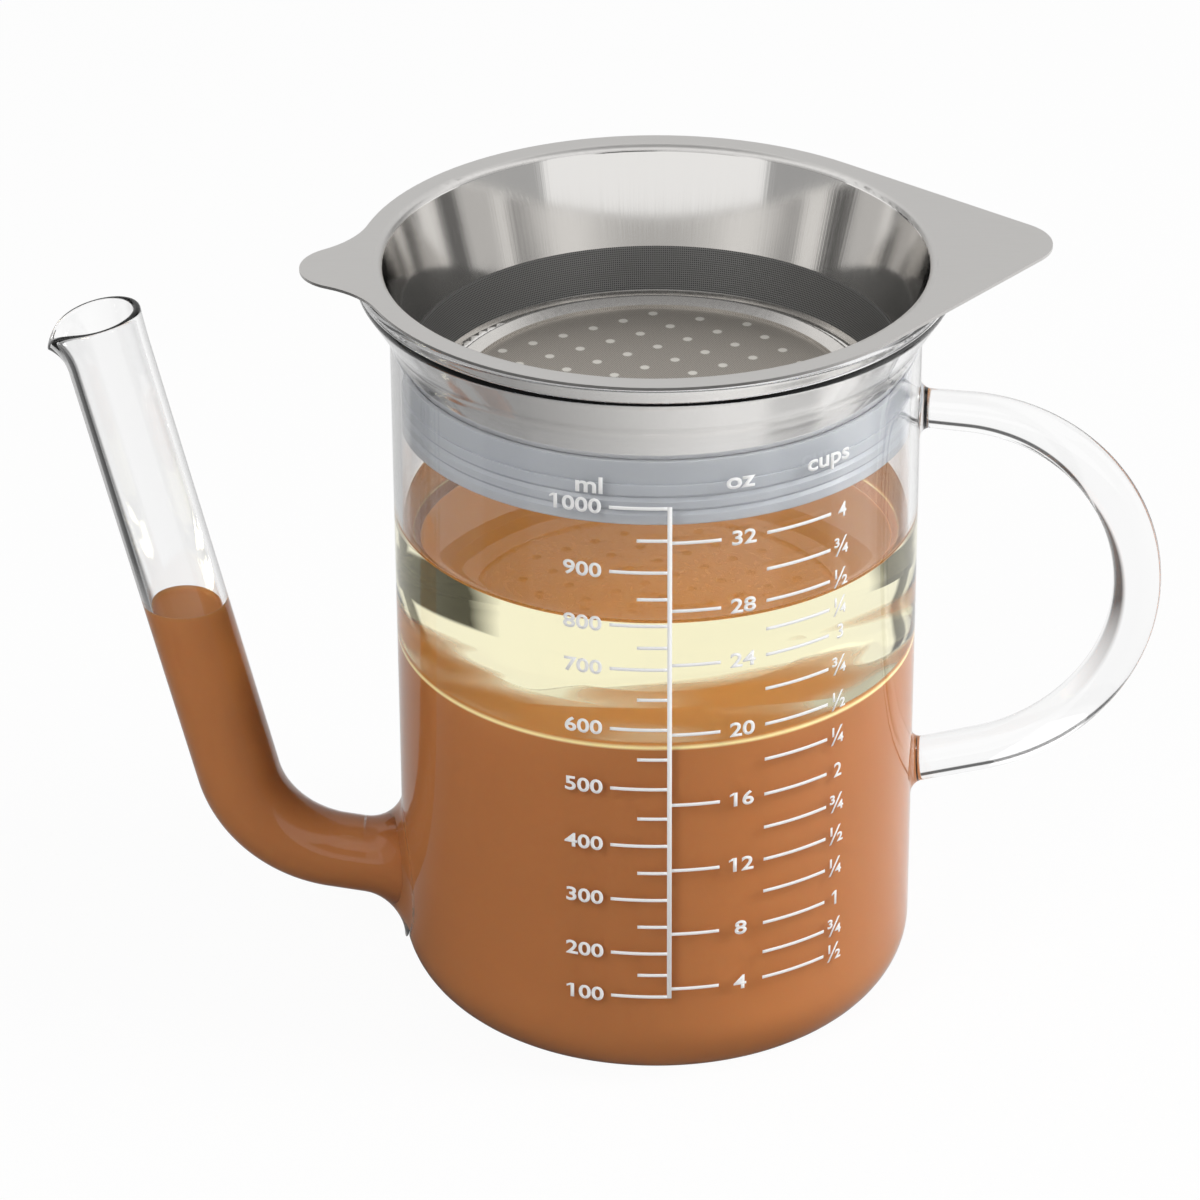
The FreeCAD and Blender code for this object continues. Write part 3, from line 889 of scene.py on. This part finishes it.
# Where things stand on the glass, in degrees from the front.
SPINE = (2.4, 3.4)
LONG_TICK, SHORT_TICK, ML_NUMBERS = -9.8, -4.0, -11.4
OUNCE_TICK, OUNCE_NUMBERS = 13.8, 18.7
CUP_TICK, CUP_NUMBERS = (23.9, 39.9), 43.2
UNITS = {"ml": (-14.0, 0.1350), "oz": (17.8, 0.1355), "cups": (39.2, 0.1356)}


def height_of(volume):
    """Height on the jug at which it holds a volume in millilitres."""
    for (low, low_z), (high, high_z) in zip(ML_HEIGHTS, ML_HEIGHTS[1:]):
        if volume <= high:
            break
    return 0.001 * (low_z + (high_z - low_z) * (volume - low) / (high - low))


class Print:
    """Collects the marks of the scale, wrapped on the glass."""

    def __init__(self, radius, sizes):
        self.radius, self.thick, self.line = radius, sizes.thickness, sizes.line_width
        self.mesh = bmesh.new()

    def wrapped(self, turn, out, height):
        reach = self.radius + out
        return Vector((sin(turn) * reach, -cos(turn) * reach, height))

    def bar(self, start, end, low, high):
        """A thin band from one place round the glass to another."""
        section = (0, low), (self.thick, low), (self.thick, high), (0, high)
        columns = [[self.mesh.verts.new(self.wrapped(radians(around), *corner))
                    for corner in section]
                   for around in stepped(start, end, max(1, ceil(abs(end - start))))]
        for one, two in zip(columns, columns[1:]):
            for i in range(4):
                j = (i + 1) % 4
                self.mesh.faces.new((one[i], one[j], two[j], two[i]))
        self.mesh.faces.new(columns[0][::-1])
        self.mesh.faces.new(columns[-1])

    def tick(self, start, end, height):
        self.bar(start, end, height - self.line / 2, height + self.line / 2)

    def label(self, text, azimuth, height, tall, align="CENTER", weight=WEIGHT, wide=WIDTH):
        """Letters of a height, centred on a height of the glass, or standing on it for a unit."""
        curve = bpy.data.curves.new("label", "FONT")
        curve.body = text
        curve.align_x = align
        curve.offset = weight
        curve.resolution_u = CURVE_STEPS
        holder = added("label", curve)
        flat = shown_mesh(holder)
        bpy.data.objects.remove(holder)
        bpy.data.curves.remove(curve)
        part = bmesh.new()
        part.from_mesh(flat)
        bmesh.ops.remove_doubles(part, verts=part.verts, dist=1e-4)
        low, high = min(v.co.y for v in part.verts), max(v.co.y for v in part.verts)
        size, middle = tall / (high - low), (low + high) / 2
        if text in UNITS:
            size, middle = tall / UNIT_HEIGHT, 0
        if text[0] == "1":
            left = min(v.co.x for v in part.verts)
            part.faces.new([part.verts.new((left + x, high + y, 0)) for x, y in ONE_FLAG])
        raised = bmesh.ops.extrude_face_region(part, geom=part.faces[:])["geom"]
        for vertex in part.verts:
            x, y = vertex.co.xy
            turn = radians(azimuth) + x * size * wide / self.radius
            vertex.co = self.wrapped(turn, self.thick if vertex in raised else 0,
                                     height + (y - middle) * size)
        bmesh.ops.recalc_face_normals(part, faces=part.faces)
        part.to_mesh(flat)
        part.free()
        self.mesh.from_mesh(flat)
        bpy.data.meshes.remove(flat)


def scale_mesh(radius, sizes):
    made = Print(radius, sizes)
    half, tall = sizes.line_width / 2, sizes.digit_height
    made.bar(*SPINE, height_of(100) - half, height_of(1000) + half)
    for volume in range(100, 1001, 50):
        made.tick(SHORT_TICK if volume % 100 else LONG_TICK, SPINE[0], height_of(volume))
    for volume in range(100, 1001, 100):
        made.label(str(volume), ML_NUMBERS, height_of(volume), tall, "RIGHT")
    for ounces in range(4, 33, 4):
        made.tick(SPINE[1], OUNCE_TICK, height_of(ounces * OUNCE))
        made.label(str(ounces), OUNCE_NUMBERS, height_of(ounces * OUNCE), tall)
    for quarters in range(2, 17):
        height = height_of(quarters * CUP / 4)
        made.tick(*CUP_TICK, height)
        whole, part = divmod(quarters, 4)
        text = ("", "¼", "½", "¾")[part] or str(whole)
        made.label(text, CUP_NUMBERS, height, tall * (1.25 if part else 1.0), weight=0.012,
                   wide=1.0)
    for unit, (azimuth, height) in UNITS.items():
        made.label(unit, azimuth, height, tall * 1.1)
    bmesh.ops.recalc_face_normals(made.mesh, faces=made.mesh.faces)
    return finished_mesh("measuring_scale", made.mesh)


# Operators


def settings_of(context):
    return context.scene.fat_separator


def dress(node, material):
    """Gives a CAD node its material."""
    held = nodes[node].data
    held.materials.clear()
    held.materials.append(material)


class FATSEP_OT_glass(Operator):
    """Blow the jug and fuse its spout and handle to it"""
    bl_idname = "fatsep.glass"
    bl_label = "Glass"

    def execute(self, context):
        sizes = settings_of(context)
        finishes = clear_glass(sizes), fused_glass()
        placed("glass_jug", jug_mesh(sizes), finishes, ["jug_body"])
        placed("pouring_spout", spout_mesh(sizes), finishes, ["spout_tube"])
        placed("glass_handle", handle_mesh(sizes), finishes, ["handle_rod"])
        return {"FINISHED"}


class FATSEP_OT_contents(Operator):
    """Pour the gravy and the fat"""
    bl_idname = "fatsep.contents"
    bl_label = "Gravy and fat"

    def execute(self, context):
        sizes = settings_of(context)
        gravy, fat = caramel_gravy(sizes), golden_fat(sizes)
        placed("gravy_pour", gravy_mesh(sizes), [gravy], ["gravy"])
        placed("fat_pour", fat_mesh(sizes), [fat], ["fat_layer"])
        return {"FINISHED"}


class FATSEP_OT_strainer(Operator):
    """Finish the strainer's bowl, plate and clamp ring"""
    bl_idname = "fatsep.strainer"
    bl_label = "Strainer"

    def execute(self, context):
        steel = settings_of(context).steel
        dress("strainer_bowl", satin_steel(steel))
        dress("perforated_plate", plain_steel(steel, "punched_steel", steel.plate_roughness))
        dress("mesh_clamp_ring", plain_steel(steel, "ring_steel", steel.ring_roughness))
        return {"FINISHED"}


class FATSEP_OT_meshes(Operator):
    """Weave the strainer's two meshes"""
    bl_idname = "fatsep.meshes"
    bl_label = "Meshes"

    def execute(self, context):
        steel = settings_of(context).steel
        dress("bottom_mesh", bottom_weave(steel))
        dress("side_mesh", side_weave(steel))
        return {"FINISHED"}


class FATSEP_OT_seal(Operator):
    """Finish the silicone seal"""
    bl_idname = "fatsep.seal"
    bl_label = "Seal"

    def execute(self, context):
        dress("seal_ring", soft_silicone(settings_of(context).seal))
        return {"FINISHED"}


class FATSEP_OT_scale(Operator):
    """Print the measuring scale"""
    bl_idname = "fatsep.scale"
    bl_label = "Printed scale"

    def execute(self, context):
        sizes = settings_of(context)
        mesh = scale_mesh(sizes.glass.radius, sizes.scale)
        placed("measuring_scale", mesh, [white_ink(sizes.scale)])
        return {"FINISHED"}


# Dark sectors of the studio: angle from +X and half the width in degrees, and brightness.
FLOOR_SECTORS = (26, 10, 0.05), (154, 10, 0.05), (-26, 10, 0.05), (-154, 10, 0.05)
MIRROR_SECTORS = (-21, 19, 0.45), (-158, 19, 0.4), (40, 7, 0.12), (140, 7, 0.1)
FRONT_SECTORS = (-78, 11, 0.16), (-108, 16, 0.7)
CLEAR_SECTORS = (24, 4, 0.06), (156, 4, 0.06)
RISEN_SECTORS = (36, 20, 0.05), (150, 10, 0.12)
KEY_LAMP = (1.05, -0.17, 0.7), (0.5, 0.7)  # place and size
FILL_LAMP = (-0.6, -0.85, 0.8), (0.5, 0.8)
AIM = (0, 0, 0.09)
FLOOR_SIZE = 3.0
EYE = (0, -0.95210, 0.59857)
EYE_RIGHT = (0.9999453, 0.00920204, -0.00497121)
EYE_UP = (0, 0.47530493, 0.87982113)
LENS = 160.24


class FATSEP_OT_studio(Operator):
    """Set up the floor, lamps, world and camera"""
    bl_idname = "fatsep.studio"
    bl_label = "Studio"

    def execute(self, context):
        studio = settings_of(context).studio
        scene = context.scene
        scene.view_settings.view_transform = "Standard"
        self.add_floor()
        self.light_world(scene, studio)
        self.add_lamp("key_lamp", *KEY_LAMP, studio.key_power)
        self.add_lamp("fill_lamp", *FILL_LAMP, studio.fill_power)
        self.add_camera(scene)
        return {"FINISHED"}

    def sectors(self, made, fade, places):
        """Brightness round the object: white but for dark sectors that fade over an angle."""
        turn, lit = made.turn(), []
        for middle, half, dark in places:
            away = made.apart(turn, radians(middle))
            lit.append(made.range(away, radians(half), radians(half + fade), dark, 1.0))
        return made.least(*lit)

    def band(self, made, dark, foot, head):
        """Keeps what is dark to a band of heights, which fades at its foot and its head."""
        return made.most(dark, made.range(made.z, *foot, 1.0, 0.0),
                         made.range(made.z, *head))

    def rays(self, made):
        """Mirror rays and clear rays that haven't met a dull surface, rays of these or of the
        camera, and rays that steel has reflected."""
        path = made.node("LightPath").outputs
        fresh = made.below(path["Diffuse Depth"], 0.5)
        clear = made.times(path["Is Transmission Ray"], fresh)
        mirror = made.times(path["Is Glossy Ray"], fresh)
        mirror = made.above(made.minus(mirror, clear), 0.5)
        seen = made.most(path["Is Camera Ray"], mirror, clear)
        return mirror, clear, seen, made.above(path["Glossy Depth"], 0.5)

    def chosen(self, made, mirror, clear, on_mirror, on_clear):
        """Brightness for each kind of ray, and 1 for the others."""
        first = made.times(mirror, made.minus(1.0, on_mirror))
        second = made.times(clear, made.minus(1.0, on_clear))
        return made.minus(1.0, first, second)

    def add_floor(self):
        mesh = bmesh.new()
        bmesh.ops.create_grid(mesh, x_segments=4, y_segments=4, size=FLOOR_SIZE)
        floor = added("floor", finished_mesh("floor", mesh))
        made = Finish("white_floor")
        mirror, clear, seen, steel = self.rays(made)
        radius = made.radius()
        shade = made.minus(1.0, self.sectors(made, 7, FLOOR_SECTORS))
        shade = made.times(shade, made.range(radius, 0.13, 0.22))
        across = made.range(made.over(made.x, radius), -0.9, 0.5, 0.6, 0.0)
        dim = made.times(steel, across)
        on_clear = made.minus(1.0, made.most(shade, dim))
        aside = made.plus(made.times(made.x, 0.45),
                          made.times(made.y, 0.9))
        on_mirror = made.range(made.over(aside, radius), -0.5, 0.75, 0.08, 0.86)
        glow = made.out("Emission", {
            "Strength": self.chosen(made, mirror, clear, on_mirror, on_clear)})
        made.set(Base_Color=(0.86, 0.86, 0.86), Roughness=0.9, Specular_IOR_Level=0.0)
        made.show(made.blend(made.times(seen, 0.95), made.shader.outputs[0], glow))
        floor.data.materials.append(made.material)

    def light_world(self, scene, studio):
        world = bpy.data.worlds.new("studio")
        scene.world = world
        made = Shading(world, "Generated")
        mirror, clear, seen, _ = self.rays(made)
        sides = made.most(self.sectors(made, 3, MIRROR_SECTORS),
                          made.range(made.z, 0.5, 0.56))
        sides = made.times(sides, made.range(made.y, 0.3, 0.75, 1.0, 0.64))
        front = self.band(made, self.sectors(made, 3, FRONT_SECTORS), (0.2, 0.3), (0.5, 0.56))
        zenith = made.range(made.z, 0.84, 0.93, 1.0, 0.35)
        on_mirror = made.least(sides, front, zenith)
        low = made.range(made.apart(made.z, 0.1), 0.07, 0.13, 0.1, 1.0)
        high = made.range(made.z, 0.72, 0.85, 1.0, 0.3)
        risen = self.band(made, self.sectors(made, 8, RISEN_SECTORS), (0.26, 0.3), (0.41, 0.44))
        on_clear = made.least(self.sectors(made, 3, CLEAR_SECTORS), low, high, risen)
        lamp = made.tree.nodes["Background"]
        made.fill(lamp, {"Color": (1, 0.99, 0.975), "Strength": studio.ambient})
        shown = made.out("Background", {
            "Color": (1, 1, 1),
            "Strength": self.chosen(made, mirror, clear, on_mirror, on_clear)})
        made.fill(made.tree.nodes["World Output"],
                  {"Surface": made.blend(seen, lamp.outputs[0], shown)})

    def add_lamp(self, name, place, size, power):
        lamp = bpy.data.lights.new(name, "AREA")
        lamp.shape = "RECTANGLE"
        lamp.size, lamp.size_y = size
        lamp.energy = power
        holder = added(name, lamp)
        holder.location = place
        aim = Vector(AIM) - Vector(place)
        holder.rotation_euler = aim.to_track_quat("-Z", "Y").to_euler()
        holder.visible_camera = False
        holder.visible_glossy = False

    def add_camera(self, scene):
        eye = bpy.data.cameras.new("camera")
        eye.lens = LENS
        eye.sensor_width = 36
        eye.clip_start = 0.01
        holder = added("camera", eye)
        right, up = Vector(EYE_RIGHT), Vector(EYE_UP)
        turn = Matrix((right, up, right.cross(up))).transposed().to_4x4()
        holder.matrix_world = Matrix.Translation(EYE) @ turn
        scene.camera = holder


class FATSEP_PT_panel(Panel):
    """Buttons for each piece of the fat separator"""
    bl_idname = "FATSEP_PT_panel"
    bl_label = "Fat Separator"
    bl_space_type = "VIEW_3D"
    bl_region_type = "UI"
    bl_category = "Fat Separator"

    def draw(self, context):
        for operator in OPERATORS:
            self.layout.operator(operator.bl_idname)
        sizes = settings_of(context)
        for group in SeparatorSettings.__annotations__:
            box = self.layout.box()
            box.label(text=group.title())
            for name in getattr(sizes, group).__annotations__:
                box.prop(getattr(sizes, group), name)


SETTINGS = (GlassSettings, SpoutSettings, HandleSettings, ContentsSettings, SteelSettings,
            SealSettings, ScaleSettings, StudioSettings, SeparatorSettings)
OPERATORS = (FATSEP_OT_studio, FATSEP_OT_glass, FATSEP_OT_contents, FATSEP_OT_strainer,
             FATSEP_OT_meshes, FATSEP_OT_seal, FATSEP_OT_scale)
CLASSES = SETTINGS + OPERATORS + (FATSEP_PT_panel,)


def register():
    for made in CLASSES:
        bpy.utils.register_class(made)
    bpy.types.Scene.fat_separator = PointerProperty(type=SeparatorSettings)


def unregister():
    del bpy.types.Scene.fat_separator
    for made in reversed(CLASSES):
        bpy.utils.unregister_class(made)


def main():
    register()
    bpy.ops.fatsep.studio()
    bpy.ops.fatsep.glass()
    bpy.ops.fatsep.contents()
    bpy.ops.fatsep.strainer()
    bpy.ops.fatsep.meshes()
    bpy.ops.fatsep.seal()
    bpy.ops.fatsep.scale()


if __name__ == "__main__":
    main()
